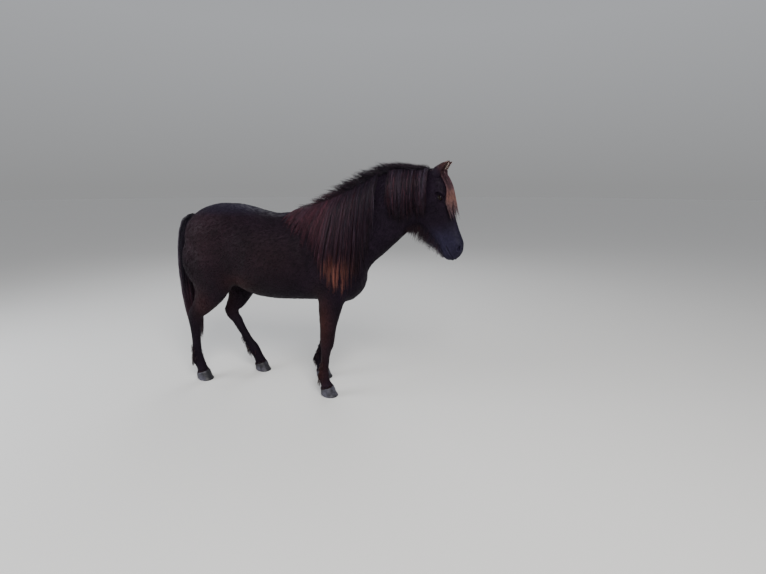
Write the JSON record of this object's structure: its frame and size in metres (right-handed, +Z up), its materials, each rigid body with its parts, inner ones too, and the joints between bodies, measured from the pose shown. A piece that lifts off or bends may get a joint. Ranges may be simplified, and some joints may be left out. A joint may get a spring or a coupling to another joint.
{
  "type": "horse model",
  "caption": "Life-size still model of a standing Icelandic horse in its autumn coat, with a long mane on its right side, a full forelock, a full tail and feathered fetlocks.",
  "frame": {"origin": "the middle of the horse's box, on the floor it stands on", "axes": "+X the way the horse faces, +Y towards its left side, +Z up"},
  "size_m": [2.218, 0.536, 1.665],
  "materials": {
    "coat": "thick short hair, near black with a cool sheen",
    "hair": "long coarse hair, near black",
    "horn": "blue-grey hoof horn",
    "eye": "wet dark brown"
  },
  "bodies": {
    "root": {"torso": "coat", "neck": "coat", "head": "coat", "ear_left": "coat", "ear_right": "coat", "leg_fore_right": "coat", "leg_fore_left": "coat", "leg_hind_right": "coat", "leg_hind_left": "coat", "tail": "hair", "hoof_fore_right": "horn", "hoof_fore_left": "horn", "hoof_hind_right": "horn", "hoof_hind_left": "horn", "eye_left": "eye", "eye_right": "eye"}
  },
  "joints": []
}
